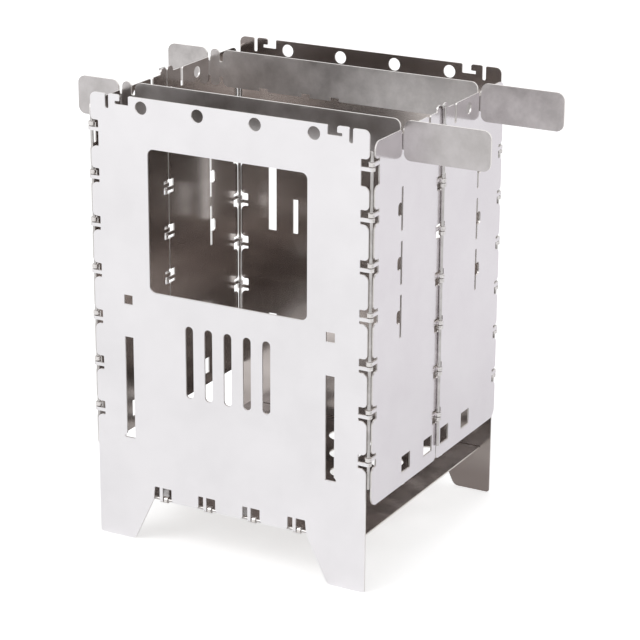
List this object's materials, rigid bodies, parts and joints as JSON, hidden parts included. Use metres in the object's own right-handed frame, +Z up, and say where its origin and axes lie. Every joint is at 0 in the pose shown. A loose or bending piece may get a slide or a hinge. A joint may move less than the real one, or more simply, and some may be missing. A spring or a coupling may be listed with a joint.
{
  "type": "folding box twig stove",
  "caption": "Tall folding box stove of thin steel sheet on pins, with a fuel window, a perforated floor plate and cross bars that carry a pot.",
  "frame": {"origin": "on the ground under the middle of the overall box, pot bars included", "axes": "+Z up, +Y from the front panel to the back panel, +X to the right seen from the front"},
  "size_m": [0.2298, 0.146, 0.235],
  "materials": {
    "panel_sheet": "satin",
    "wall_sheet": "satin",
    "floor_sheet": "satin",
    "bar_sheet": "mottled satin",
    "pin_wire": "drawn"
  },
  "bodies": {
    "front": {"front_panel": "panel_sheet", "front_left_pin": "pin_wire", "front_right_pin": "pin_wire", "floor_hinge_pin": "pin_wire"},
    "left_front": {"left_front_wall": "wall_sheet", "mid_left_pin": "pin_wire"},
    "left_rear": {"left_rear_wall": "wall_sheet"},
    "back": {"back_panel": "panel_sheet", "rear_left_pin": "pin_wire", "rear_right_pin": "pin_wire"},
    "right_front": {"right_front_wall": "wall_sheet", "mid_right_pin": "pin_wire"},
    "right_rear": {"right_rear_wall": "wall_sheet"},
    "floor": {"floor_plate": "floor_sheet"},
    "front_bar": {"front_pot_bar": "bar_sheet"},
    "rear_bar": {"rear_pot_bar": "bar_sheet"}
  },
  "joints": [
    {"name": "left_front_fold", "type": "hinge", "parent": "front", "child": "left_front", "pos_m": [-0.08827, -0.07137, 0.14], "axis": [0, 0, -1], "range_deg": [0, 90]},
    {"name": "left_mid_fold", "type": "hinge", "parent": "left_front", "child": "left_rear", "pos_m": [-0.09083, 0, 0.14], "axis": [0, 0, 1], "range_deg": [0, 180]},
    {"name": "back_fold", "type": "hinge", "parent": "left_rear", "child": "back", "pos_m": [-0.08827, 0.07137, 0.14], "axis": [0, 0, -1], "range_deg": [0, 90]},
    {"name": "right_front_fold", "type": "hinge", "parent": "front", "child": "right_front", "pos_m": [0.06747, -0.07137, 0.14], "axis": [0, 0, 1], "range_deg": [0, 90]},
    {"name": "right_mid_fold", "type": "hinge", "parent": "right_front", "child": "right_rear", "pos_m": [0.07003, 0, 0.14], "axis": [0, 0, -1], "range_deg": [0, 180]},
    {"name": "floor_plate_swing", "type": "hinge", "parent": "front", "child": "floor", "pos_m": [-0.0104, -0.07137, 0.0251], "axis": [-1, 0, 0], "range_deg": [0, 90]},
    {"name": "front_bar_lift", "type": "slide", "parent": "front", "child": "front_bar", "axis": [0, 0, 1], "range_m": [0, 0.144]},
    {"name": "rear_bar_lift", "type": "slide", "parent": "back", "child": "rear_bar", "axis": [0, 0, 1], "range_m": [0, 0.18]}
  ],
  "couplings": [
    {"joint": "left_mid_fold", "follows": "left_front_fold", "ratio": 2},
    {"joint": "back_fold", "follows": "left_front_fold", "ratio": 1},
    {"joint": "right_front_fold", "follows": "left_front_fold", "ratio": 1},
    {"joint": "right_mid_fold", "follows": "left_front_fold", "ratio": 2},
    {"joint": "floor_plate_swing", "follows": "left_front_fold", "ratio": 1},
    {"joint": "front_bar_lift", "follows": "left_front_fold", "m_per_rad": 0.0915},
    {"joint": "rear_bar_lift", "follows": "left_front_fold", "m_per_rad": 0.1145}
  ]
}
